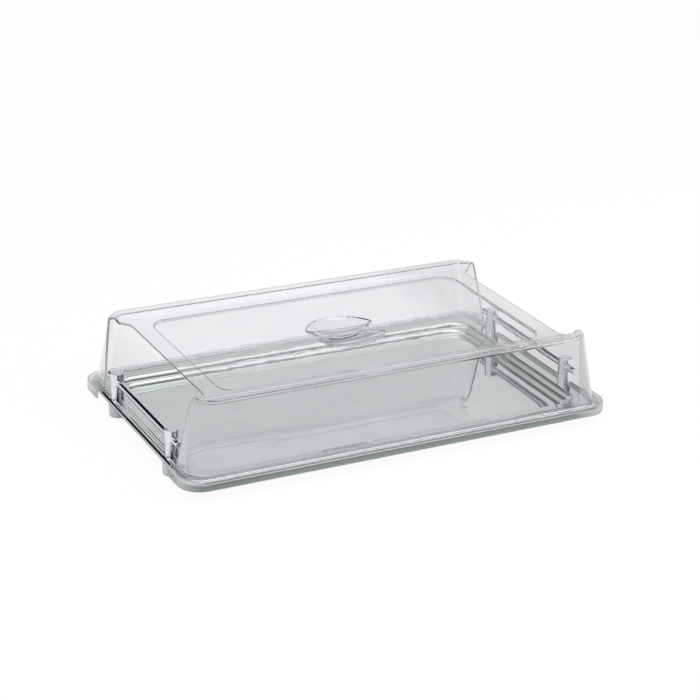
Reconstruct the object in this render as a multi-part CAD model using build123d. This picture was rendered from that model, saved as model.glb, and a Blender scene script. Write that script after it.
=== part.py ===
"""Gastronorm display tray on feet, with a bar handle at each end and a clear lift-off cover.

Millimetres, +Z up. The origin is on the table, under the middle of the tray.
X runs along the tray from handle to handle, and Y runs across it, with the front at -Y.
"""
import os
from math import atan2, cos, radians, sin, tan

from build123d import *

# Tray, one pressed stainless sheet
tray_length = 530.0
tray_width = 325.0
tray_corner_radius = 23.0
tray_sheet = 0.9
tray_depth = 12.5
rim_width = 23.0
rim_bend_radius = 3.5
lip_height = 4.3
rib_count = 2
rib_steps = 4
wall_reach = 11.0
basin_corner_radius = 21.0
floor_corner_radius = 18.0
floor_gap = 9.1

# Feet, moulded plastic, one under each handle post
foot_top_diameter = 21.0
foot_bottom_diameter = 19.6
foot_edge_radius = 1.2
foot_recess_diameter = 12.5
foot_recess_depth = 8.0

# Fixings
screw_diameter = 5.0
screw_grip_in_post = 9.0
screw_head_diameter = 9.5
screw_head_height = 3.2
screw_hole_clearance = 0.6
hex_key = 3.0
hex_depth = 1.8
washer_diameter = 11.5
washer_thickness = 1.0
set_screw_key = 2.5
set_screw_length = 5.0

# Handles, chromed round posts and bars
post_diameter = 16.0
post_height = 32.0
post_edge_radius = 0.8
post_from_tray_end = 11.7
post_spacing = 169.0
bar_diameter = 8.0
bar_height_above_rim = 21.5
bar_overhang = 15.0
bar_end_radius = 1.0

# Cover, one clear plastic moulding
cover_wall = 2.5
cover_clearance = 1.6
skirt_corner_radius = 27.0
skirt_drop = 12.5
skirt_edge_radius = 2.4
flange_width_long_sides = 11.0
flange_width_ends = 9.6
cover_height = 84.0
wall_lean_long_sides = 8.2
wall_lean_ends = 12.0
cover_corner_radius_base = 22.0
cover_corner_radius_top = 27.0
ridge_height = 6.6
ridge_width_long_sides = 16.7
ridge_width_ends = 6.5
ridge_slope_run = 4.7
ridge_edge_radius = 4.0
ridge_brow_radius = 2.5
ridge_foot_radius = 3.0
ridge_foot_corner_radius = 9.0
end_opening_width_base = 226.0
end_opening_widening = 30.0
end_opening_flare = 20.0
end_opening_radius = 20.0
top_panel_length = 448.5

# Recessed panel and finger grip in the cover's top
recess_length = 405.0
recess_width = 223.0
recess_corner_radius = 20.0
recess_step = 2.0
grip_diameter = 92.0
grip_depth = 12.0
grip_web_waist = 11.0
grip_web_arc_radius = 84.0

# Heights and places that follow from the sizes above
floor_top = floor_gap + tray_sheet
rim_top = floor_top + tray_depth
rim_underside = rim_top - tray_sheet
flange_top = rim_top + cover_wall
cover_top = rim_top + cover_height
panel_top = cover_top - ridge_height
recess_top = panel_top - recess_step
post_x = tray_length / 2 - post_from_tray_end
post_y = post_spacing / 2
bar_z = rim_top + bar_height_above_rim
bar_length = post_spacing + 2 * (post_diameter / 2 + bar_overhang)
washer_seat = foot_recess_depth
stations = {
    "left_front": (-post_x, -post_y),
    "left_rear": (-post_x, post_y),
    "right_front": (post_x, -post_y),
    "right_rear": (post_x, post_y),
}
over_cut = 5.0
least_radius = 0.3
round_steps = 4


def rounded_plate(length, width, radius, bottom, top):
    """A flat plate with rounded corners between two heights."""
    return Pos(0, 0, bottom) * extrude(RectangleRounded(length, width, radius), top - bottom)


def standing_cylinder(diameter, bottom, top):
    """A round bar along Z between two heights."""
    return Pos(0, 0, (bottom + top) / 2) * Cylinder(diameter / 2, top - bottom)


def at_stations(shape):
    """One copy of a shape at each handle post."""
    return [Pos(x, y, 0) * shape for x, y in stations.values()]


def edges_at_height(shape, height):
    """The edges that lie flat at one height."""
    return shape.edges().filter_by_position(Axis.Z, height - 0.001, height + 0.001)


def basin_profile():
    """Steps in from the tray's edge and heights, down the ribbed wall from rim to floor."""
    reach = wall_reach / rib_count
    drop = tray_depth / rib_count
    profile = [(rim_width, rim_top)]
    for rib in range(rib_count):
        for step in range(1, rib_steps + 1):
            turn = radians(90 * step / rib_steps)
            inset = rim_width + reach * (rib + sin(turn))
            profile.append((inset, rim_top - drop * (rib + 1 - cos(turn))))
    return profile


def basin_solid(offset):
    """The basin's space, moved out and down by the sheet for the outside of the wall."""
    profile = basin_profile()
    sections = []
    for inset, height in profile:
        share = (rim_top - height) / tray_depth
        radius = basin_corner_radius + (floor_corner_radius - basin_corner_radius) * share
        across = 2 * (inset - offset)
        section = RectangleRounded(tray_length - across, tray_width - across, radius + offset)
        sections.append(Pos(0, 0, height - offset) * section)
    return loft(sections, ruled=True)


def make_tray():
    """Rim with a turned-down lip, ribbed walls and a flat floor, all of one sheet."""
    edge = rounded_plate(tray_length, tray_width, tray_corner_radius, rim_top - lip_height, rim_top)
    edge = fillet(edges_at_height(edge, rim_top), rim_bend_radius)
    inside_radius = tray_corner_radius - tray_sheet
    under_rim = rounded_plate(tray_length - 2 * tray_sheet, tray_width - 2 * tray_sheet, inside_radius,
                              rim_top - lip_height - over_cut, rim_underside)
    under_rim = fillet(edges_at_height(under_rim, rim_underside), rim_bend_radius - tray_sheet)
    tray = edge - under_rim + basin_solid(tray_sheet) - basin_solid(0)
    hole = standing_cylinder(screw_diameter + screw_hole_clearance, rim_underside - 1, rim_top + 1)
    return tray - at_stations(hole)


def make_foot():
    """A tapered foot, bevelled to clear the rim's bend, with a recess for the washer and the screw head."""
    bottom = Circle(foot_bottom_diameter / 2)
    top = Pos(0, 0, rim_underside) * Circle(foot_top_diameter / 2)
    foot = loft([bottom, top], ruled=True)
    foot = fillet(edges_at_height(foot, 0), foot_edge_radius)
    foot = chamfer(edges_at_height(foot, rim_underside), rim_bend_radius)
    foot -= standing_cylinder(foot_recess_diameter, -over_cut, foot_recess_depth)
    return foot - standing_cylinder(screw_diameter + screw_hole_clearance, 0, rim_top)


def make_washer():
    """A flat washer in the roof of the foot's recess."""
    bottom = washer_seat - washer_thickness
    washer = standing_cylinder(washer_diameter, bottom, washer_seat)
    return washer - standing_cylinder(screw_diameter + screw_hole_clearance, bottom - 1, washer_seat + 1)


def hex_socket(key, depth, bottom):
    """The socket for a hexagon key, open downwards."""
    hexagon = RegularPolygon(key / 2, 6, major_radius=False)
    return Pos(0, 0, bottom) * extrude(hexagon, depth)


def make_foot_screw():
    """A cap screw that goes up through foot and rim into the post."""
    head_top = washer_seat - washer_thickness
    head_bottom = head_top - screw_head_height
    screw = standing_cylinder(screw_head_diameter, head_bottom, head_top)
    screw += standing_cylinder(screw_diameter, head_top, rim_top + screw_grip_in_post)
    return screw - hex_socket(hex_key, hex_depth, head_bottom)


def make_set_screw():
    """A set screw in the same tapped hole, which clamps the bar from below."""
    top = bar_z - bar_diameter / 2
    screw = standing_cylinder(screw_diameter, top - set_screw_length, top)
    return screw - hex_socket(set_screw_key, set_screw_length / 2, top - set_screw_length)


def make_post():
    """A round post with a cross bore for the bar and a tapped hole from below up to the bore."""
    top = rim_top + post_height
    post = standing_cylinder(post_diameter, rim_top, top)
    post = fillet(edges_at_height(post, top), post_edge_radius)
    post -= Pos(0, 0, bar_z) * Rot(90, 0, 0) * Cylinder(bar_diameter / 2, post_diameter + 2 * over_cut)
    return post - standing_cylinder(screw_diameter, rim_top - 1, bar_z)


def make_bar():
    """A round bar along Y through both posts of one end, with rounded ends."""
    bar = Pos(0, 0, bar_z) * Rot(90, 0, 0) * Cylinder(bar_diameter / 2, bar_length)
    return fillet(bar.edges().filter_by(GeomType.CIRCLE), bar_end_radius)


def share_of_height(height):
    """How far up the cover a height is, from 0 at the flange to 1 at the top."""
    return (height - rim_top) / cover_height


def cover_half_width(height):
    """Half the cover's outside width at one height."""
    base = tray_width / 2 + cover_clearance + cover_wall - flange_width_long_sides
    return base - wall_lean_long_sides * share_of_height(height)


def cover_half_length(height):
    """Half the cover's outside length at one height."""
    base = tray_length / 2 + cover_clearance + cover_wall - flange_width_ends
    return base - wall_lean_ends * share_of_height(height)


def cover_section(height, inset):
    """The cover walls' outline at one height, moved inwards by an inset."""
    growth = cover_corner_radius_top - cover_corner_radius_base
    radius = max(cover_corner_radius_base + growth * share_of_height(height) - inset, least_radius)
    length = 2 * (cover_half_length(height) - inset)
    width = 2 * (cover_half_width(height) - inset)
    return Pos(0, 0, height) * RectangleRounded(length, width, radius)


def ridge_profile(offset):
    """Steps out from the ridge's inner foot and heights, up its inner side to the crest."""
    slope = atan2(ridge_height, ridge_slope_run)
    foot_radius = ridge_foot_radius + offset
    brow_radius = max(ridge_brow_radius - offset, least_radius)
    foot = (offset - foot_radius) * tan(slope / 2)
    brow = ridge_slope_run + (offset + brow_radius) * tan(slope / 2)
    bottom = panel_top - offset
    top = cover_top - offset
    profile = []
    for step in range(round_steps + 1):
        turn = slope * step / round_steps
        profile.append((foot + foot_radius * sin(turn), bottom + foot_radius * (1 - cos(turn))))
    for step in range(round_steps + 1):
        turn = slope * (1 - step / round_steps)
        profile.append((brow - brow_radius * sin(turn), top - brow_radius * (1 - cos(turn))))
    return profile + [(brow, cover_top + over_cut)]


def trough(offset):
    """The sunk space inside the ridge, which runs round the whole top."""
    half_length = cover_half_length(cover_top) - ridge_width_ends - ridge_slope_run
    half_width = cover_half_width(cover_top) - ridge_width_long_sides - ridge_slope_run
    sections = []
    for out, height in ridge_profile(offset):
        radius = ridge_foot_corner_radius + out
        section = RectangleRounded(2 * (half_length + out), 2 * (half_width + out), radius)
        sections.append(Pos(0, 0, height) * section)
    return loft(sections, ruled=True)


def cover_bell(offset, bottom):
    """The cover's walls, ridges and top as a full block, for its outside or its inside."""
    top = cover_top - offset
    rounding = max(ridge_edge_radius - offset, least_radius)
    sections = [cover_section(bottom, offset)]
    for step in range(round_steps + 1):
        turn = radians(90 * step / round_steps)
        inset = offset + rounding * (1 - cos(turn))
        sections.append(cover_section(top - rounding * (1 - sin(turn)), inset))
    bell = loft(sections, ruled=True) - trough(offset)
    sunk = rounded_plate(recess_length + 2 * offset, recess_width + 2 * offset, recess_corner_radius + offset,
                         recess_top - offset, cover_top + over_cut)
    return bell - sunk


def cover_flange():
    """The flange that lies on the tray's rim, and the skirt round the lip."""
    length = tray_length + 2 * (cover_clearance + cover_wall)
    width = tray_width + 2 * (cover_clearance + cover_wall)
    flange = rounded_plate(length, width, skirt_corner_radius, flange_top - skirt_drop, flange_top)
    flange = fillet(edges_at_height(flange, flange_top), skirt_edge_radius)
    inside = rounded_plate(length - 2 * cover_wall, width - 2 * cover_wall, skirt_corner_radius - cover_wall,
                           flange_top - skirt_drop - over_cut, rim_top)
    return flange - inside


def end_opening(side):
    """The opening at one end, wider upwards and outwards, which also sets the top panel's end edge."""
    start = top_panel_length / 2
    reach = tray_length

    def section(height, width, flare):
        wall = cover_half_length(height)
        inner = width / 2 - (wall - start) * tan(radians(flare))
        outer = width / 2 + (reach - wall) * tan(radians(flare))
        outline = Polygon((start, -inner), (reach, -outer), (reach, outer), (start, inner), align=None)
        outline = fillet(outline.vertices().group_by(Axis.X)[0], end_opening_radius)
        return Pos(0, 0, height) * outline

    base = section(flange_top, end_opening_width_base, 0)
    above = section(cover_top + over_cut, end_opening_width_base + end_opening_widening, end_opening_flare)
    below = extrude(base, skirt_drop + over_cut, dir=(0, 0, -1))
    opening = loft([base, above], ruled=True) + below
    return opening if side > 0 else Rot(0, 0, 180) * opening


def grip_bowl(offset):
    """The round bowl of the finger grip, a slice of a ball."""
    rim = grip_diameter / 2
    ball = (rim ** 2 + grip_depth ** 2) / (2 * grip_depth)
    middle = recess_top - grip_depth + ball
    bowl = Pos(0, 0, middle) * Sphere(ball + offset)
    slab = rounded_plate(2 * ball, 2 * ball, ball / 2, recess_top - 2 * grip_depth, recess_top)
    return bowl & slab


def web_arcs(offset):
    """The two round columns, front and rear, that leave the web of the grip between them."""
    reach = grip_web_waist / 2 + grip_web_arc_radius
    column = standing_cylinder(2 * (grip_web_arc_radius + offset), 0, cover_top)
    return [Pos(0, side * reach, 0) * column for side in (-1, 1)]


def make_cover():
    """Flange and skirt, hollow walls and top, open ends, and the grip with its two finger wells."""
    cover = cover_flange() + cover_bell(0, rim_top)
    cover -= cover_bell(cover_wall, rim_top - over_cut)
    bowl_skin = grip_bowl(cover_wall)
    cover += bowl_skin
    wells = [grip_bowl(0) & column for column in web_arcs(0)]
    under_web = standing_cylinder(grip_diameter, recess_top - 2 * grip_depth, recess_top - cover_wall)
    cover -= wells
    cover -= under_web - web_arcs(cover_wall)
    return cover - [end_opening(side) for side in (-1, 1)]


def write_part(name, shape):
    """Write one sub-part as its own file."""
    export_step(shape, f"parts/{name}.step")
    print(f"{name}: {shape.volume:.1f} mm3")


os.makedirs("parts", exist_ok=True)
write_part("cover", make_cover())
write_part("tray", make_tray())
for end, side in (("left", -1), ("right", 1)):
    write_part(f"handle_bar_{end}", Pos(side * post_x, 0, 0) * make_bar())
for station, (x, y) in stations.items():
    write_part(f"handle_post_{station}", Pos(x, y, 0) * make_post())
    write_part(f"foot_{station}", Pos(x, y, 0) * make_foot())
write_part("foot_screws", Compound(at_stations(make_foot_screw())))
write_part("foot_washers", Compound(at_stations(make_washer())))
write_part("bar_set_screws", Compound(at_stations(make_set_screw())))
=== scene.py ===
import math

import bmesh
import bpy
from mathutils import Matrix, Vector


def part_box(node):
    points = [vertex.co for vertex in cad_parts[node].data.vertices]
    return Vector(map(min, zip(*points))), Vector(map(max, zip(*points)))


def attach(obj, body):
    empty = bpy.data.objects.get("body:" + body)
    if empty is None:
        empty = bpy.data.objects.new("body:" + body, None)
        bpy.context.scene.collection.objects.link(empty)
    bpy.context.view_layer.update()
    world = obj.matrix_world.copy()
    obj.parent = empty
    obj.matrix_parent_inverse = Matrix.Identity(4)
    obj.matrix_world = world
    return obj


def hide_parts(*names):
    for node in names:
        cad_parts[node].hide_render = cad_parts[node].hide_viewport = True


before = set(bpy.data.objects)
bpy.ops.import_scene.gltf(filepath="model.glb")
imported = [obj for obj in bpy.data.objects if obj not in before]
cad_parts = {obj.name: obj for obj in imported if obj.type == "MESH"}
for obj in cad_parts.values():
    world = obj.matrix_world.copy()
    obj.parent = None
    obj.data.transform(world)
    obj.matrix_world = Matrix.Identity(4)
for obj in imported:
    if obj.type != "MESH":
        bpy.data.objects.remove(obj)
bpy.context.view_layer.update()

# Feet: four tapered plugs of grey plastic, injection moulded with a fine spark-eroded grain.
# Each stands under a handle post and is held up against the rim by the screw inside it.
foot_grey_shade = (0.70, 0.735, 0.775, 1.0)
foot_grey_light = (0.78, 0.81, 0.845, 1.0)
foot_tone_size = 0.012
foot_roughness = (0.36, 0.5)
foot_grain_size = 0.0006
foot_grain_depth = 0.0002
foot_grain_strength = 0.12
cloud_size = 0.05
cloud_detail = 3.0
cloud_roughness = 0.55
cloud_low, cloud_high = 0.3, 0.7


def place(tree, kind, inputs=None, **settings):
    """Add one shader node, set its properties, and set or link its inputs."""
    node = tree.nodes.new(kind)
    for name, value in settings.items():
        setattr(node, name, value)
    for name, value in (inputs or {}).items():
        if isinstance(value, bpy.types.NodeSocket):
            tree.links.new(value, node.inputs[name])
        else:
            node.inputs[name].default_value = value
    return node


def new_finish(name):
    """A new material, its node tree and its Principled shader."""
    finish = bpy.data.materials.new(name)
    finish.use_nodes = True
    return finish, finish.node_tree, finish.node_tree.nodes["Principled BSDF"]


def new_group(name, inputs, outputs):
    """An empty shader node group with number inputs and outputs of the kinds given."""
    group = bpy.data.node_groups.new(name, "ShaderNodeTree")
    for socket, value in inputs.items():
        entry = group.interface.new_socket(socket, in_out="INPUT", socket_type="NodeSocketFloat")
        entry.default_value = value
    for socket, kind in outputs.items():
        group.interface.new_socket(socket, in_out="OUTPUT", socket_type=kind)
    return group, group.nodes.new("NodeGroupInput").outputs, group.nodes.new("NodeGroupOutput").inputs


def two_tone(tree, mask, dark, light):
    """A colour that runs from dark to light as a mask goes from 0 to 1."""
    ramp = place(tree, "ShaderNodeValToRGB", {"Fac": mask})
    ramp.color_ramp.elements[0].color = dark
    ramp.color_ramp.elements[1].color = light
    return ramp.outputs["Color"]


def between(tree, mask, low, high):
    """A number that runs from low to high as a mask goes from 0 to 1."""
    spread = place(tree, "ShaderNodeMapRange", {"Value": mask, "To Min": low, "To Max": high})
    return spread.outputs["Result"]


cloud, cloud_in, cloud_out = new_group("slow_cloud", {"Size": cloud_size}, {"Mask": "NodeSocketFloat"})
cloud_scale = place(cloud, "ShaderNodeMath", {0: 1.0, 1: cloud_in["Size"]}, operation="DIVIDE")
cloud_noise = place(cloud, "ShaderNodeTexNoise",
                    {"Vector": place(cloud, "ShaderNodeTexCoord").outputs["Object"],
                     "Scale": cloud_scale.outputs[0], "Detail": cloud_detail,
                     "Roughness": cloud_roughness})
cloud_spread = place(cloud, "ShaderNodeMapRange",
                     {"Value": cloud_noise.outputs["Fac"], "From Min": cloud_low, "From Max": cloud_high})
cloud.links.new(cloud_spread.outputs["Result"], cloud_out["Mask"])


def cloud_mask(tree, size):
    """The slow cloud in one material, at its own size."""
    node = place(tree, "ShaderNodeGroup", node_tree=cloud)
    node.inputs["Size"].default_value = size
    return node.outputs["Mask"]


grey_plastic, tree, shader = new_finish("grey_plastic_moulded")
foot_tone = two_tone(tree, cloud_mask(tree, foot_tone_size), foot_grey_shade, foot_grey_light)
tree.links.new(foot_tone, shader.inputs["Base Color"])
foot_grain = cloud_mask(tree, foot_grain_size)
tree.links.new(between(tree, foot_grain, *foot_roughness), shader.inputs["Roughness"])
foot_bump = place(tree, "ShaderNodeBump",
                  {"Height": foot_grain, "Strength": foot_grain_strength, "Distance": foot_grain_depth})
tree.links.new(foot_bump.outputs["Normal"], shader.inputs["Normal"])

stations = ("left_front", "left_rear", "right_front", "right_rear")
for station in stations:
    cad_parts[f"foot_{station}"].material_slots[0].material = grey_plastic

# Foot fixings: cap screws with a hexagon socket, on flat washers, of plain turned steel.
# They go up through the feet and the rim into the posts, and set screws above them clamp the bars.
fixing_dark = (0.40, 0.39, 0.375, 1.0)
fixing_light = (0.56, 0.55, 0.53, 1.0)
fixing_tone_size = 0.003
fixing_roughness = (0.24, 0.4)

fixing_steel, tree, shader = new_finish("fixing_steel_turned")
shader.inputs["Metallic"].default_value = 1.0
fixing_tone = cloud_mask(tree, fixing_tone_size)
tree.links.new(two_tone(tree, fixing_tone, fixing_dark, fixing_light), shader.inputs["Base Color"])
tree.links.new(between(tree, fixing_tone, *fixing_roughness), shader.inputs["Roughness"])
for fixings in ("foot_screws", "foot_washers", "bar_set_screws"):
    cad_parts[fixings].material_slots[0].material = fixing_steel

# Tray: one pressed sheet of stainless steel, mirror polished, with two ribs down its walls.
# Its rim turns down into a short lip all round, and posts and feet are screwed through the rim.
# Three shallow grooves run along the rim at both ends, and the floor sags a little.
mm = 0.001
tray_low, tray_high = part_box("tray")
tray_half_length = tray_high.x
tray_half_width = tray_high.y
rim_top = tray_high.z
tray_sheet = 0.9 * mm
tray_floor_top = tray_low.z + tray_sheet
tray_corner_radius = 23 * mm
lip_height = 4.3 * mm
lip_edge_radius = 0.4 * mm
rim_bend_radius = 3.5 * mm
rim_bend_steps = 10
rim_width = 23 * mm
rib_count = 2
rib_steps = 14
wall_reach = 11 * mm
basin_corner_radius = 21 * mm
floor_corner_radius = 18 * mm
crease_reach = 1.3 * mm
crease_steps = 5
floor_sag = 1.6 * mm
floor_rings = 12
groove_pitch = 3.55 * mm
groove_depths = (0.42 * mm, 0.26 * mm, 0.26 * mm)
groove_steps = 12
tray_sharp_angle = 40
join_distance = 0.0001 * mm
steel_dark = (0.645, 0.685, 0.67, 1.0)
steel_light = (0.695, 0.735, 0.72, 1.0)
steel_tone_size = 0.09
steel_roughness = (0.045, 0.12)
steel_wipe_width, steel_wipe_streak = 0.004, 18
steel_wave_size = 0.11
steel_wave_depth = 2 * mm
steel_wave_strength = 0.02
marks_width, marks_streak = 0.01, 12.0
marks_headings = (17, 104)
marks_axis = (0.12, 0.2, 1.0)
marks_detail = 4.0
marks_low, marks_high = 0.52, 0.78


def turns(start, stop, steps):
    """Angles in radians from start to stop degrees, both included."""
    return [math.radians(start + (stop - start) * step / steps) for step in range(steps + 1)]


def rounded_ring(half_length, half_width, radius, height, end_dip=0.0, corner_steps=20):
    """Points round a rounded rectangle at one height, or lower by a dip along its two ends."""
    ring = []
    for corner, (x_side, y_side) in enumerate(((1, 1), (-1, 1), (-1, -1), (1, -1))):
        for turn in turns(90 * corner, 90 * corner + 90, corner_steps):
            ring.append(Vector((x_side * (half_length - radius) + radius * math.cos(turn),
                                y_side * (half_width - radius) + radius * math.sin(turn),
                                height - end_dip * math.cos(turn) ** 2)))
    return ring


def add_ring(mesh, points):
    """The vertices of one ring or row."""
    return [mesh.verts.new(point) for point in points]


def bridge(mesh, first, second, closed=True):
    """Quads between two rings or rows that have as many vertices."""
    count = len(first)
    faces = []
    for index in range(count if closed else count - 1):
        after = (index + 1) % count
        faces.append(mesh.faces.new((first[index], first[after], second[after], second[index])))
    return faces


def finish_piece(mesh, name, material, sharp_angle):
    """Close up the mesh, set its shading and put it in the scene."""
    bmesh.ops.remove_doubles(mesh, verts=mesh.verts, dist=join_distance)
    bmesh.ops.recalc_face_normals(mesh, faces=mesh.faces)
    for face in mesh.faces:
        face.smooth = True
    for edge in mesh.edges:
        edge.smooth = edge.calc_face_angle(math.pi) < math.radians(sharp_angle)
    data = bpy.data.meshes.new(name)
    mesh.to_mesh(data)
    mesh.free()
    data.materials.append(material)
    piece = bpy.data.objects.new(name, data)
    bpy.context.scene.collection.objects.link(piece)
    even = piece.modifiers.new("even_shading", "WEIGHTED_NORMAL")
    even.keep_sharp = True
    return piece


def eased(before, corner, after, steps):
    """Points on a smooth bend from one point to another, drawn towards a corner."""
    shares = [step / steps for step in range(steps + 1)]
    return [before * (1 - q) ** 2 + corner * 2 * q * (1 - q) + after * q ** 2 for q in shares]


def basin_wall():
    """Steps in from the tray's edge and heights, down the two ribs, with eased creases under them."""
    reach = wall_reach / rib_count
    drop = (rim_top - tray_floor_top) / rib_count
    ease_in = math.degrees(math.asin(crease_reach / reach))
    ease_out = math.degrees(math.acos(crease_reach / drop))
    wall = []
    for rib in range(rib_count):
        def on_rib(turn):
            return Vector((rim_width + reach * (rib + math.sin(turn)),
                           rim_top - drop * (rib + 1 - math.cos(turn))))
        wall += [on_rib(turn) for turn in turns(ease_in if rib else 0, ease_out, rib_steps)]
        crease = on_rib(math.radians(90))
        if rib < rib_count - 1:
            after = crease + Vector((crease_reach, -drop * (1 - math.cos(math.radians(ease_in)))))
        else:
            after = crease + Vector((crease_reach, 0))
        wall += eased(wall[-1], crease, after, crease_steps)[1:-1]
    return wall + [after, after + Vector((crease_reach, 0))]


def tray_rings(sheet):
    """Rings from the lip's edge over the rim and down to the floor, on the upper or the lower side."""
    bend = rim_bend_radius - sheet
    rings = [(sheet, rim_top - lip_height + lip_edge_radius, tray_corner_radius - sheet, 0.0)]
    for turn in turns(0, 90, rim_bend_steps):
        inset = sheet + bend * (1 - math.cos(turn))
        height = rim_top - sheet - bend * (1 - math.sin(turn))
        rings.append((inset, height, tray_corner_radius - inset, 0.0))
    for groove, depth in enumerate(groove_depths):
        for step in range(1, groove_steps + 1):
            inset = rim_bend_radius + groove_pitch * (groove + step / groove_steps)
            dip = depth * (1 - math.cos(2 * math.pi * step / groove_steps)) / 2
            rings.append((inset, rim_top - sheet, tray_corner_radius - inset, dip))
    for inset, height in basin_wall():
        share = (rim_top - height) / (rim_top - tray_floor_top)
        radius = basin_corner_radius + (floor_corner_radius - basin_corner_radius) * share
        rings.append((inset - sheet, height - sheet, radius + sheet, 0.0))
    rings = [rounded_ring(tray_half_length - inset, tray_half_width - inset, radius, height, dip)
             for inset, height, radius, dip in rings]
    floor_edge = rings[-1]
    for ring in range(1, floor_rings):
        share = 1 - ring / floor_rings
        rings.append([Vector((point.x * share, point.y * share, point.z - floor_sag * (1 - share ** 2)))
                      for point in floor_edge])
    return rings


tray_mesh = bmesh.new()
lip_edge = rounded_ring(tray_half_length - tray_sheet / 2, tray_half_width - tray_sheet / 2,
                        tray_corner_radius - tray_sheet / 2, rim_top - lip_height)
lip_edge = add_ring(tray_mesh, lip_edge)
for sheet in (0.0, tray_sheet):
    last = lip_edge
    for ring in tray_rings(sheet):
        ring = add_ring(tray_mesh, ring)
        bridge(tray_mesh, last, ring)
        last = ring
    tray_mesh.faces.new(last)

marks, marks_in, marks_out = new_group("wipe_marks", {"Size": marks_width, "Streak": marks_streak},
                                       {"Mask": "NodeSocketFloat"})
marks_object = place(marks, "ShaderNodeTexCoord").outputs["Object"]
marks_scale = place(marks, "ShaderNodeMath", {0: 1.0, 1: marks_in["Size"]}, operation="DIVIDE")
marks_layers = []
for heading in marks_headings:
    turned = place(marks, "ShaderNodeVectorRotate",
                   {"Vector": marks_object, "Axis": marks_axis, "Angle": math.radians(heading)})
    split = place(marks, "ShaderNodeSeparateXYZ", {"Vector": turned.outputs["Vector"]}).outputs
    along = place(marks, "ShaderNodeMath", {0: split["X"], 1: marks_in["Streak"]}, operation="DIVIDE")
    drawn = place(marks, "ShaderNodeCombineXYZ",
                  {"X": along.outputs[0], "Y": split["Y"], "Z": split["Z"]})
    layer = place(marks, "ShaderNodeTexNoise",
                  {"Vector": drawn.outputs["Vector"], "Scale": marks_scale.outputs[0],
                   "Detail": marks_detail})
    marks_layers.append(layer.outputs["Fac"])
marks_both = place(marks, "ShaderNodeMath", {0: marks_layers[0], 1: marks_layers[1]}, operation="MAXIMUM")
marks_spread = place(marks, "ShaderNodeMapRange",
                     {"Value": marks_both.outputs[0], "From Min": marks_low, "From Max": marks_high})
marks.links.new(marks_spread.outputs["Result"], marks_out["Mask"])


def wipe_mask(tree, width, streak):
    """The wipe marks in one material, at their own width and drawn out so many times as long."""
    node = place(tree, "ShaderNodeGroup", node_tree=marks)
    node.inputs["Size"].default_value = width
    node.inputs["Streak"].default_value = streak
    return node.outputs["Mask"]


tray_steel, tree, shader = new_finish("stainless_polished")
shader.inputs["Metallic"].default_value = 1.0
steel_tone = two_tone(tree, cloud_mask(tree, steel_tone_size), steel_dark, steel_light)
tree.links.new(steel_tone, shader.inputs["Base Color"])
steel_wipes = wipe_mask(tree, steel_wipe_width, steel_wipe_streak)
tree.links.new(between(tree, steel_wipes, *steel_roughness), shader.inputs["Roughness"])
steel_wave = place(tree, "ShaderNodeBump",
                   {"Height": cloud_mask(tree, steel_wave_size), "Strength": steel_wave_strength,
                    "Distance": steel_wave_depth})
tree.links.new(steel_wave.outputs["Normal"], shader.inputs["Normal"])

tray = finish_piece(tray_mesh, "tray_pressed", tray_steel, tray_sharp_angle)
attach(tray, "base")
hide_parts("tray")

# Handles: four round posts and two round bars of steel rod, turned, polished and chrome plated.
# Each bar goes through the cross bores of two posts and stands proud of them at both ends.
chrome_dark = (0.70, 0.73, 0.77, 1.0)
chrome_light = (0.78, 0.81, 0.85, 1.0)
chrome_tone_size = 0.02
chrome_roughness = (0.005, 0.03)
chrome_wipe_width, chrome_wipe_streak = 0.002, 10

chrome, tree, shader = new_finish("chrome_plated")
shader.inputs["Metallic"].default_value = 1.0
chrome_tone = two_tone(tree, cloud_mask(tree, chrome_tone_size), chrome_dark, chrome_light)
tree.links.new(chrome_tone, shader.inputs["Base Color"])
chrome_wipes = wipe_mask(tree, chrome_wipe_width, chrome_wipe_streak)
tree.links.new(between(tree, chrome_wipes, *chrome_roughness), shader.inputs["Roughness"])
for station in stations:
    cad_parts[f"handle_post_{station}"].material_slots[0].material = chrome
for end in ("left", "right"):
    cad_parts[f"handle_bar_{end}"].material_slots[0].material = chrome

# Cover: one injection moulding of clear plastic, 2.5 mm thick, open at both ends for the handles.
# Its flange lies on the tray's rim with a skirt round the lip, and it lifts straight off.
# A ridge stands along each long side, and two finger wells in the recessed top leave a web as the grip.
cover_low, cover_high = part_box("cover")
cover_half_length = cover_high.x
cover_half_width = cover_high.y
skirt_bottom = cover_low.z
cover_top = cover_high.z
cover_wall = 2.5 * mm
cover_gap = 0.15 * mm
cover_edge_radius = 0.5 * mm
cover_edge_steps = 4
cover_sharp_angle = 25
least_radius = 0.3 * mm
skirt_corner_radius = 27 * mm
skirt_edge_radius = 2.4 * mm
skirt_edge_steps = 6
flange_top = rim_top + cover_wall
flange_width_long_sides = 11 * mm
flange_width_ends = 9.6 * mm
wall_root_radius = 1.5 * mm
wall_root_steps = 5
wall_steps = 12
wall_lean_long_sides = 8.2 * mm
wall_lean_ends = 12 * mm
wall_corner_radius_base = 22 * mm
wall_corner_radius_top = 27 * mm
ridge_height = 6.6 * mm
ridge_width_long_sides = 16.7 * mm
ridge_width_ends = 6.5 * mm
ridge_slope_run = 4.7 * mm
ridge_edge_radius = 4 * mm
ridge_edge_steps = 8
ridge_brow_radius = 2.5 * mm
ridge_foot_radius = 3 * mm
ridge_foot_corner_radius = 9 * mm
ridge_bend_steps = 6
panel_top = cover_top - ridge_height
panel_half_length = 224.25 * mm
panel_half_width = 119 * mm
panel_corner_radius = 12 * mm
panel_end_steps = 8
opening_half_width_base = 113 * mm
opening_half_width_top = 128 * mm
opening_flare = math.radians(20)
opening_radius = 20 * mm
opening_reach = 2 * tray_half_length
opening_top = cover_top + 5 * mm
recess_half_length = 202.5 * mm
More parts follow.
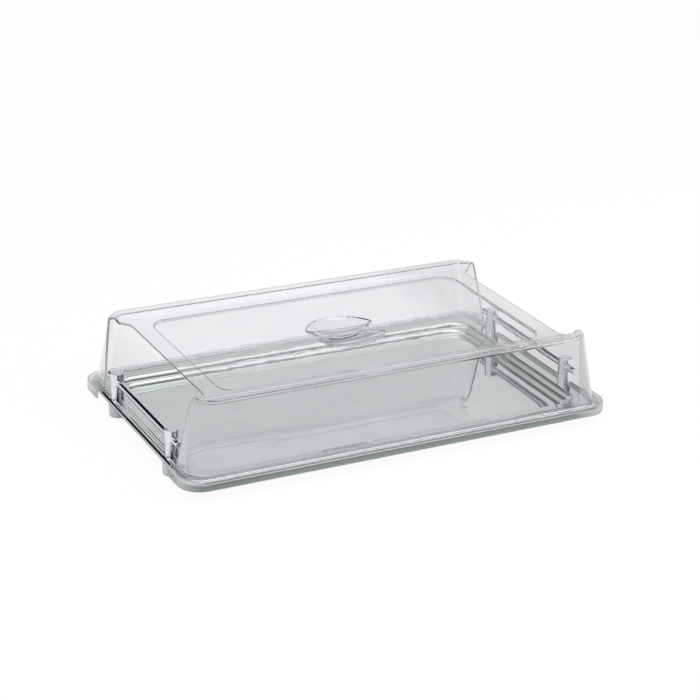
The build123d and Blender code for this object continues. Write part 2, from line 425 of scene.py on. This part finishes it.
recess_half_width = 111.5 * mm
recess_corner_radius = 20 * mm
recess_step = 2 * mm
recess_step_run = 2.4 * mm
recess_step_rings = 10
recess_top = panel_top - recess_step
grip_radius = 46 * mm
grip_depth = 12 * mm
grip_web_half_waist = 5.5 * mm
grip_web_arc_radius = 84 * mm
grip_web_edge_radius = 0.7 * mm
grip_web_root_radius = 3 * mm
grip_web_most_rounding = 0.4
grip_web_bend_steps = 4
grip_columns = 48
grip_bowl_steps = 14
corner_columns = 40
halvings = 48
light_bounces = 32
plastic_shade = (0.915, 0.915, 0.935, 1.0)
plastic_clear = (0.945, 0.945, 0.96, 1.0)
plastic_tone_size = 0.06
plastic_smoke = (0.42, 0.40, 0.50, 1.0)
plastic_smoke_density = 1.2
plastic_refraction = 1.58
plastic_roughness = (0.0, 0.03)
plastic_wipe_width, plastic_wipe_streak = 0.006, 8
cut_edge_roughness = 0.8
ripple_size = 0.06
ripple_depth = 0.055 * mm


def cover_wall_ring(height, inset):
    """Half length, half width, corner radius and height of the walls' outline, moved in by an inset."""
    share = (height - rim_top) / (cover_top - rim_top)
    radius = wall_corner_radius_base + (wall_corner_radius_top - wall_corner_radius_base) * share
    return (cover_half_length - flange_width_ends - wall_lean_ends * share - inset,
            cover_half_width - flange_width_long_sides - wall_lean_long_sides * share - inset,
            max(radius - inset, least_radius), height)


def skirt_rows(depth):
    """Rows up the skirt and over its edge onto the flange, at a depth under the outer face."""
    edge = max(skirt_edge_radius - depth, least_radius)
    top = flange_top - depth + (cover_gap if depth else 0)
    insets = [(depth, skirt_bottom + cover_edge_radius)]
    insets += [(depth + edge * (1 - math.cos(turn)), top - edge * (1 - math.sin(turn)))
               for turn in turns(0, 90, skirt_edge_steps)]
    return [(cover_half_length - inset, cover_half_width - inset, skirt_corner_radius - inset, height)
            for inset, height in insets]


def wall_rows(depth):
    """Rows from the flange round the wall's root, up the wall and over the ridge's outer edge."""
    root = wall_root_radius + depth
    bottom = flange_top - depth + (cover_gap if depth else 0)
    edge = max(ridge_edge_radius - depth, least_radius)
    top = cover_top - depth
    rows = [cover_wall_ring(bottom + root * (1 - math.cos(turn)), depth - root * (1 - math.sin(turn)))
            for turn in turns(0, 90, wall_root_steps)]
    low, high = bottom + root, top - edge
    rows += [cover_wall_ring(low + (high - low) * step / wall_steps, depth)
             for step in range(1, wall_steps)]
    rows += [cover_wall_ring(top - edge * (1 - math.sin(turn)), depth + edge * (1 - math.cos(turn)))
             for turn in turns(0, 90, ridge_edge_steps)]
    return rows


def ridge_rows(depth):
    """Rows from the ridge's crest down its inner side, and over the panel to its end edge."""
    slope = math.atan2(ridge_height, ridge_slope_run)
    foot_radius = ridge_foot_radius + depth
    brow_radius = max(ridge_brow_radius - depth, least_radius)
    foot = (depth - foot_radius) * math.tan(slope / 2)
    brow = ridge_slope_run + (depth + brow_radius) * math.tan(slope / 2)
    foot_length, foot_width = cover_wall_ring(cover_top, 0)[:2]
    foot_length -= ridge_width_ends + ridge_slope_run
    foot_width -= ridge_width_long_sides + ridge_slope_run
    profile = [(brow - brow_radius * math.sin(turn),
                cover_top - depth - brow_radius * (1 - math.cos(turn)))
               for turn in turns(0, math.degrees(slope), ridge_bend_steps)]
    profile += [(foot + foot_radius * math.sin(turn),
                 panel_top - depth + foot_radius * (1 - math.cos(turn)))
                for turn in turns(math.degrees(slope), 0, ridge_bend_steps)]
    rows = [(foot_length + out, foot_width + out, ridge_foot_corner_radius + out, height)
            for out, height in profile]
    start_length, start_width, start_radius, height = rows[-1]
    swing = math.degrees(math.acos(1 - (start_length - panel_half_length) / opening_radius))
    for turn in turns(swing, 0, panel_end_steps)[1:]:
        length = panel_half_length + opening_radius * (1 - math.cos(turn))
        share = (start_length - length) / (start_length - panel_half_length)
        rows.append((length, start_width + (panel_half_width - start_width) * share,
                     start_radius + (panel_corner_radius - start_radius) * share, height))
    return rows


def opening_outline(half_width, flare, wall_x):
    """An opening's inner corner: its centre's Y, its turn in radians, and the two ends of the side."""
    corner_y = half_width - (wall_x - panel_half_length) * math.tan(flare)
    sweep = math.pi / 2 - flare
    centre_y = corner_y - opening_radius * math.tan(sweep / 2)
    side_start = (panel_half_length + opening_radius * (1 - math.cos(sweep)),
                  centre_y + opening_radius * math.sin(sweep))
    side_end = (opening_reach, half_width + (opening_reach - wall_x) * math.tan(flare))
    return centre_y, sweep, side_start, side_end


opening_low = opening_outline(opening_half_width_base, 0.0, cover_wall_ring(flange_top, 0)[0])
opening_high = opening_outline(opening_half_width_top, opening_flare, cover_wall_ring(opening_top, 0)[0])


def opening_point(along, height):
    """A point of the opening's edge: 0 to 1 round its inner corner, 1 to 2 along its side."""
    points = []
    for centre_y, sweep, side_start, side_end in (opening_low, opening_high):
        if along < 1:
            points.append(Vector((panel_half_length + opening_radius * (1 - math.cos(sweep * along)),
                                  centre_y + opening_radius * math.sin(sweep * along))))
        else:
            points.append(Vector(side_start).lerp(Vector(side_end), along - 1))
    share = min(max((height - flange_top) / (opening_top - flange_top), 0), 1)
    return points[0].lerp(points[1], share)


def halved(holds, low, high):
    """The place between low, where a test holds, and high, where it fails."""
    for _ in range(halvings):
        middle = (low + high) / 2
        if holds(middle):
            low = middle
        else:
            high = middle
    return low


def opening_half_width(x, height):
    """Half the opening's width at one distance along the cover, with the edge's rounding added."""
    along = halved(lambda place_along: opening_point(place_along, height).x < x, 0.0, 2.0)
    return opening_point(along, height).y + cover_edge_radius


def corner_points(row):
    """Points of one row in the +X +Y corner, from the opening's edge round to the long side."""
    half_length, half_width, radius, height = row
    straight = half_width - radius
    whole = straight + radius * math.pi / 2

    def at(length):
        if length < straight:
            return Vector((half_length, length, height))
        turn = (length - straight) / radius
        return Vector((half_length - radius * (1 - math.cos(turn)),
                       straight + radius * math.sin(turn), height))

    if half_length > panel_half_length + cover_edge_radius:
        start = halved(lambda length: at(length).y < opening_half_width(at(length).x, height), 0.0, whole)
    else:
        start = opening_point(0.0, height).y + cover_edge_radius
    return [at(start + (whole - start) * column / corner_columns) for column in range(corner_columns + 1)]


def mirrored(points, x_side, y_side):
    """Points mirrored into another corner."""
    return [Vector((x_side * point.x, y_side * point.y, point.z)) for point in points]


def grip_well(depth):
    """Lines of the rear finger well, from the web's edge down its side and over the bowl to the rim."""
    ball = (grip_radius ** 2 + grip_depth ** 2) / (2 * grip_depth)
    ball_height = recess_top - grip_depth + ball
    top = recess_top - depth
    rim = math.sqrt((ball + depth) ** 2 - (ball_height - top) ** 2)
    column_y = grip_web_half_waist + grip_web_arc_radius
    column = grip_web_arc_radius + depth
    tip_y = (rim ** 2 + column_y ** 2 - column ** 2) / (2 * column_y)
    tip_x = math.sqrt(rim ** 2 - tip_y ** 2)
    rim_turn = math.atan2(tip_y, tip_x)
    web_turn = math.atan2(tip_x, column_y - tip_y)

    def bowl_height(point):
        return ball_height - math.sqrt((ball + depth) ** 2 - point.x ** 2 - point.y ** 2)

    lines = []
    for step in range(grip_columns + 1):
        share = math.sin(math.pi / 2 * (2 * step / grip_columns - 1))
        inward = Vector((-math.sin(web_turn * share), math.cos(web_turn * share)))
        web = Vector((0, column_y)) - column * inward
        across = math.pi / 2 - (math.pi / 2 - rim_turn) * share
        edge = Vector((rim * math.cos(across), rim * math.sin(across)))
        most = grip_web_most_rounding * (top - bowl_height(web))
        brow = min(grip_web_edge_radius, most)
        root = min(grip_web_root_radius, most)
        low = bowl_height(web + inward * root)
        bend = turns(0, 90, grip_web_bend_steps)
        line = [(web - inward * brow * (1 - math.sin(turn)), top - brow * (1 - math.cos(turn)))
                for turn in bend]
        line += [(web + inward * root * (1 - math.cos(turn)), low + root * (1 - math.sin(turn)))
                 for turn in bend]
        bowl_start = line[-1][0]
        for part in range(1, grip_bowl_steps + 1):
            point = bowl_start.lerp(edge, part / grip_bowl_steps)
            line.append((point, bowl_height(point)))
        lines.append([Vector((point.x, point.y, height)) for point, height in line])
    return lines


def fill_flat(mesh, loops):
    """Fill the flat space between closed loops of vertices."""
    edges = []
    for loop in loops:
        for index, vertex in enumerate(loop):
            after = loop[(index + 1) % len(loop)]
            if vertex is not after:
                edges.append(mesh.edges.get((vertex, after)) or mesh.edges.new((vertex, after)))
    bmesh.ops.triangle_fill(mesh, use_beauty=True, edges=edges)


def cover_face(mesh, depth):
    """One face of the cover, outer or inner, and the loop of its open edge with the way out of it."""
    rows = skirt_rows(depth) + wall_rows(depth) + ridge_rows(depth)
    corners = [corner_points(row) for row in rows]
    strips = []
    for y_side in (-1, 1):
        strip = []
        for corner in corners:
            near = mirrored(corner, -y_side, y_side)
            strip.append(add_ring(mesh, near + mirrored(reversed(corner), y_side, y_side)))
        for lower, upper in zip(strip, strip[1:]):
            bridge(mesh, lower, upper, closed=False)
        strips.append(strip)

    panel_edge = [vertex for strip in strips for vertex in strip[-1]]
    recess = []
    for step in range(recess_step_rings + 1):
        share = step / recess_step_rings
        out = recess_step_run * (0.5 - share)
        height = panel_top - depth - recess_step * (1 - math.cos(math.pi * share)) / 2
        recess.append(add_ring(mesh, rounded_ring(recess_half_length + out, recess_half_width + out,
                                                  recess_corner_radius + out, height)))
    for upper, lower in zip(recess, recess[1:]):
        bridge(mesh, upper, lower)
    fill_flat(mesh, [panel_edge, recess[0]])

    outlines = [recess[-1]]
    for y_side in (-1, 1):
        lines = [add_ring(mesh, mirrored(line, 1, y_side)) for line in grip_well(depth)]
        for line, after in zip(lines, lines[1:]):
            bridge(mesh, line, after, closed=False)
        for tip in (lines[0], lines[-1]):
            bmesh.ops.pointmerge(mesh, verts=tip, merge_co=tip[-1].co)
        rim = [line[-1] for line in lines[1:-1]]
        web = [line[0] for line in lines[1:-1]]
        tips = [[vertex for vertex in tip if vertex.is_valid][0] for tip in (lines[0], lines[-1])]
        outlines.append([tips[0]] + rim + [tips[1]] + web[::-1])
    fill_flat(mesh, outlines)

    edge = []
    for strip in strips:
        edge += [(row[0], row[1]) for row in reversed(strip)]
        edge += [(low, high) for low, high in zip(strip[0][1:-1], strip[1][1:-1])]
        edge += [(row[-1], row[-2]) for row in strip]
    return [(vertex, (vertex.co - inner.co).normalized()) for vertex, inner in edge]


cover_mesh = bmesh.new()
inner_mark = cover_mesh.faces.layers.float.new("inner_face")
outer_edge = cover_face(cover_mesh, 0.0)
outer_faces = len(cover_mesh.faces)
inner_edge = cover_face(cover_mesh, cover_wall)
for face in list(cover_mesh.faces)[outer_faces:]:
    face[inner_mark] = 1.0
edge_rows = [[vertex for vertex, _ in outer_edge]]
edge_rounding = turns(0, 90, cover_edge_steps)[1:]
for side, side_turns in (("outer", edge_rounding), ("inner", edge_rounding[::-1])):
    for turn in side_turns:
        row = []
        for (outer, outer_out), (inner, inner_out) in zip(outer_edge, inner_edge):
            through = (inner.co - outer.co).normalized()
            if side == "outer":
                start, out, sink = outer.co, outer_out, through
            else:
                start, out, sink = inner.co, inner_out, -through
            row.append(start + cover_edge_radius * (math.sin(turn) * out + (1 - math.cos(turn)) * sink))
        edge_rows.append(add_ring(cover_mesh, row))
edge_rows.append([vertex for vertex, _ in inner_edge])
cut_mark = cover_mesh.faces.layers.float.new("cut_edge")
for first, second in zip(edge_rows, edge_rows[1:]):
    for face in bridge(cover_mesh, first, second):
        face[cut_mark] = 1.0

bpy.context.scene.cycles.max_bounces = light_bounces
bpy.context.scene.cycles.glossy_bounces = light_bounces
bpy.context.scene.cycles.transmission_bounces = light_bounces
clear_plastic, tree, shader = new_finish("clear_plastic_moulded")
shader.inputs["Transmission Weight"].default_value = 1.0
shader.inputs["IOR"].default_value = plastic_refraction
plastic_tone = two_tone(tree, cloud_mask(tree, plastic_tone_size), plastic_shade, plastic_clear)
tree.links.new(plastic_tone, shader.inputs["Base Color"])
plastic_wipes = wipe_mask(tree, plastic_wipe_width, plastic_wipe_streak)
plastic_haze = between(tree, plastic_wipes, *plastic_roughness)
cut_edge = place(tree, "ShaderNodeAttribute", attribute_name="cut_edge").outputs["Fac"]
cut_haze = place(tree, "ShaderNodeMath", {0: cut_edge, 1: cut_edge_roughness, 2: plastic_haze},
                 operation="MULTIPLY_ADD")
tree.links.new(cut_haze.outputs[0], shader.inputs["Roughness"])
inner_face = place(tree, "ShaderNodeAttribute", attribute_name="inner_face").outputs["Fac"]
ripple = place(tree, "ShaderNodeMath", {0: cloud_mask(tree, ripple_size), 1: inner_face},
               operation="MULTIPLY")
ripple_bump = place(tree, "ShaderNodeBump",
                    {"Height": ripple.outputs[0], "Strength": 1.0, "Distance": ripple_depth})
tree.links.new(ripple_bump.outputs["Normal"], shader.inputs["Normal"])
smoke = place(tree, "ShaderNodeVolumeAbsorption",
              {"Color": plastic_smoke, "Density": plastic_smoke_density})
tree.links.new(smoke.outputs["Volume"], tree.nodes["Material Output"].inputs["Volume"])

cover = finish_piece(cover_mesh, "cover_clear", clear_plastic, cover_sharp_angle)
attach(cover, "cover")
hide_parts("cover")

# Table and studio: a white table top, a soft box overhead, and a dark room with a pale backdrop and wall.
# The table glows white where it is seen, with a painted shadow deep under the tray. Through the cover and
# in the metal its glow holds a painted shadow round the tray, and through the cover a painted falloff
# past its ends.
# Shades start and stop in metres past the tray's edge, and ways into the room are in degrees.
table_half_size = 8.0
table_drop = 0.2 * mm
table_white = (0.8, 0.8, 0.8, 1.0)
table_shadow_white = (0.06, 0.06, 0.06, 1.0)
table_glow = 0.94
# Painted shadow in direct view: the table's glow falls to half deep under the tray.
shade_start, shade_stop, shade_glow = -0.11, -0.05, 0.5
# Painted shadow seen through the cover: the glow falls nearly to nothing under the tray, with a painted
# green tint there.
through_start, through_stop, through_shade, through_glow = -0.050, 0.035, 0.05, 1.0
painted_shade_tint = (0.80, 1.09, 0.95, 1.0)
# Painted falloff of light through the cover: the glow dims past the tray's right end, less so towards the
# rear, and a little past its left end.
through_right_start, through_right_stop = 0.22, 0.29
through_right_near, through_right_near_glow = 0.06, 0.64
through_right_far, through_right_far_glow = 0.16, 0.80
through_left_start, through_left_stop, through_left_glow = -0.10, -0.21, 0.84
# Painted shadow seen in the metal: the glow is dark just past the tray's edge and white again 60 mm out.
mirror_start, mirror_stop, mirror_shade, mirror_glow = 0.012, 0.06, 0.2, 0.94
plain_white = (1.0, 1.0, 1.0, 1.0)
first_colour, second_colour, mixed_colour = 6, 7, 2
room_ambient = 0.6
room_white = 0.83
room_dark = 0.01
room_haze = 0.65
cone_softness = 3
backdrop_azimuth = 78
backdrop_elevation = 28.2
backdrop_softness = 0.015
backdrop_middle = 64.5
backdrop_middle_drop = 6
backdrop_middle_spread = 2
backdrop_end_spread = 11
backdrop_end_glow = 0.66
side_wall_azimuth = 183
side_wall_spread = 50
side_wall_glow = 1.4
window_azimuth = -60
window_elevation = 24
window_spread = 12
window_glow = 0.45
flag_azimuth = 112
flag_elevation = 28
flag_spread = 18
flag_haze = 0.25
corner_azimuth = -38
corner_elevation = 24
corner_spread = 42
corner_haze = 0.1
softbox_size = (2.8, 1.9)
softbox_place = Vector((0.6, -0.65, 1.3))
softbox_power = 22.0

table_mesh = bpy.data.meshes.new("table_top")
table_corners = [(x_side * table_half_size, y_side * table_half_size, -table_drop)
                 for x_side, y_side in ((-1, -1), (1, -1), (1, 1), (-1, 1))]
table_mesh.from_pydata(table_corners, [], [(0, 1, 2, 3)])
table = bpy.data.objects.new("table_top", table_mesh)
bpy.context.scene.collection.objects.link(table)

table_finish, tree, shader = new_finish("table_white")
tree.nodes.remove(shader)
table_mesh.materials.append(table_finish)


def combine(operation, first, second):
    """One sum, product or other mix of two numbers, in the node tree at hand."""
    return place(tree, "ShaderNodeMath", {0: first, 1: second}, operation=operation).outputs[0]


def smooth_step(value, start, stop, low=0.0, high=1.0):
    """A number that goes smoothly from low at start to high at stop."""
    step = place(tree, "ShaderNodeMapRange",
                 {"Value": value, "From Min": start, "From Max": stop, "To Min": low, "To Max": high},
                 interpolation_type="SMOOTHSTEP")
    return step.outputs["Result"]


def either(mask, first, second):
    """The first number where a mask is 0, the second where it is 1."""
    return place(tree, "ShaderNodeMix", {"Factor": mask, "A": first, "B": second}).outputs["Result"]


table_point = place(tree, "ShaderNodeTexCoord").outputs["Object"]
on_table = place(tree, "ShaderNodeSeparateXYZ", {"Vector": table_point}).outputs
past_end = combine("SUBTRACT", combine("ABSOLUTE", on_table["X"], 0.0), tray_half_length)
past_side = combine("SUBTRACT", combine("ABSOLUTE", on_table["Y"], 0.0), tray_half_width)
past_tray = combine("MAXIMUM", past_end, past_side)
rays = place(tree, "ShaderNodeLightPath").outputs
# The table's glow, with a painted shadow deep under the tray.
glow = smooth_step(past_tray, shade_start, shade_stop, shade_glow, table_glow)
# Painted falloff: the glow seen through the cover dims past the tray's two ends.
glow_past_end = smooth_step(on_table["Y"], through_right_near, through_right_far,
                            through_right_near_glow, through_right_far_glow)
glow_right = smooth_step(on_table["X"], through_right_start, through_right_stop,
                         through_glow, glow_past_end)
glow_left = smooth_step(on_table["X"], through_left_start, through_left_stop,
                        through_glow, through_left_glow)
glow_through = combine("MINIMUM", glow_left, glow_right)
# Through the cover the glow holds a painted shadow under the tray, and a painted green tint in that
# shadow.
glow_through = smooth_step(past_tray, through_start, through_stop, through_shade, glow_through)
under_tray = smooth_step(past_tray, through_start, through_stop, 1.0, 0.0)
painted_tint_share = combine("MULTIPLY", rays["Is Transmission Ray"], under_tray)
painted_tint_mix = place(tree, "ShaderNodeMix",
             {"Factor": painted_tint_share, first_colour: plain_white, second_colour: painted_shade_tint}, data_type="RGBA")
# In the metal's reflections the glow holds a painted shadow round the tray.
glow_mirrored = smooth_step(past_tray, mirror_start, mirror_stop, mirror_shade, mirror_glow)
glow = either(rays["Is Glossy Ray"], glow, glow_mirrored)
glow = either(rays["Is Transmission Ray"], glow, glow_through)
glowing = place(tree, "ShaderNodeEmission", {"Color": painted_tint_mix.outputs[mixed_colour], "Strength": glow})
shadowed = place(tree, "ShaderNodeBsdfDiffuse", {"Color": table_shadow_white})
seen_top = place(tree, "ShaderNodeAddShader", {0: glowing.outputs[0], 1: shadowed.outputs[0]})
plain_top = place(tree, "ShaderNodeBsdfDiffuse", {"Color": table_white})
table_mix = place(tree, "ShaderNodeMixShader",
                  {0: rays["Is Diffuse Ray"], 1: seen_top.outputs[0], 2: plain_top.outputs[0]})
tree.links.new(table_mix.outputs[0], tree.nodes["Material Output"].inputs["Surface"])

world = bpy.data.worlds.new("studio_room")
bpy.context.scene.world = world
world.use_nodes = True
tree = world.node_tree
way = place(tree, "ShaderNodeTexCoord").outputs["Generated"]
way_up = place(tree, "ShaderNodeSeparateXYZ", {"Vector": way}).outputs["Z"]


def cosine(degrees):
    """The cosine of an angle in degrees."""
    return math.cos(math.radians(degrees))


def towards(azimuth, elevation=0.0):
    """How far a ray goes one way, which is given in degrees, from -1 to 1."""
    turn, rise = math.radians(azimuth), math.radians(elevation)
    aim = (math.cos(turn) * math.cos(rise), math.sin(turn) * math.cos(rise), math.sin(rise))
    return place(tree, "ShaderNodeVectorMath", {0: way, 1: aim}, operation="DOT_PRODUCT").outputs["Value"]


def within(spread, way_along):
    """A mask that is 1 inside a cone of so many degrees."""
    return smooth_step(way_along, cosine(spread + cone_softness), cosine(spread - cone_softness))


backdrop_edge = combine("MULTIPLY", towards(backdrop_azimuth), math.tan(math.radians(backdrop_elevation)))
bright = smooth_step(combine("SUBTRACT", backdrop_edge, way_up), -backdrop_softness, backdrop_softness)
backdrop_fade = smooth_step(towards(backdrop_middle, backdrop_elevation - backdrop_middle_drop),
                            cosine(backdrop_end_spread), cosine(backdrop_middle_spread),
                            backdrop_end_glow)
bright = combine("MULTIPLY", bright, backdrop_fade)
window = within(window_spread, towards(window_azimuth, window_elevation))
bright = combine("MAXIMUM", bright, combine("MULTIPLY", window, window_glow))
flag = within(flag_spread, towards(flag_azimuth, flag_elevation))
bright = combine("MULTIPLY", bright, combine("SUBTRACT", 1.0, flag))
rays = place(tree, "ShaderNodeLightPath").outputs
studio = either(bright, room_dark, room_white)
studio = either(within(side_wall_spread, towards(side_wall_azimuth)), studio, side_wall_glow)
haze = either(flag, room_haze, flag_haze)
corner = within(corner_spread, towards(corner_azimuth, corner_elevation))
haze = either(corner, haze, corner_haze)
studio = either(combine("MULTIPLY", rays["Is Transmission Ray"], haze), studio, room_white)
studio = either(rays["Is Diffuse Ray"], studio, room_ambient)
studio = either(rays["Is Camera Ray"], studio, 1.0)
tree.links.new(studio, tree.nodes["Background"].inputs["Strength"])
tree.nodes["Background"].inputs["Color"].default_value = plain_white

softbox_data = bpy.data.lights.new("softbox", "AREA")
softbox_data.shape = "RECTANGLE"
softbox_data.size, softbox_data.size_y = softbox_size
softbox_data.energy = softbox_power
softbox = bpy.data.objects.new("softbox", softbox_data)
softbox.matrix_world = Matrix.Translation(softbox_place)
bpy.context.scene.collection.objects.link(softbox)

# Camera: a long lens, about 2.3 m in front of the tray and round towards its left end.
# It looks down on the tray from a little above, and is turned about its axis by a degree or so.
view_azimuth = math.radians(-27.2)
view_elevation = math.radians(22.4)
view_roll = math.radians(1.44)
view_distance = 2.2924
view_aim = Vector((0.0087, 0.0035, 0.0703))
focal_pixels = 1941.28
image_pixels = 700
sensor_width = 36.0

back = Vector((math.sin(view_azimuth) * math.cos(view_elevation),
               -math.cos(view_azimuth) * math.cos(view_elevation), math.sin(view_elevation)))
level = Vector((math.cos(view_azimuth), math.sin(view_azimuth), 0))
upright = back.cross(level)
right = math.cos(view_roll) * level + math.sin(view_roll) * upright
above = math.cos(view_roll) * upright - math.sin(view_roll) * level
camera_data = bpy.data.cameras.new("camera")
camera_data.sensor_width = sensor_width
camera_data.lens = sensor_width * focal_pixels / image_pixels
camera = bpy.data.objects.new("camera", camera_data)
view_axes = Matrix((right, above, back)).transposed().to_4x4()
camera.matrix_world = Matrix.Translation(view_aim + back * view_distance) @ view_axes
bpy.context.scene.collection.objects.link(camera)
bpy.context.scene.camera = camera
bpy.context.scene.view_settings.view_transform = "Standard"
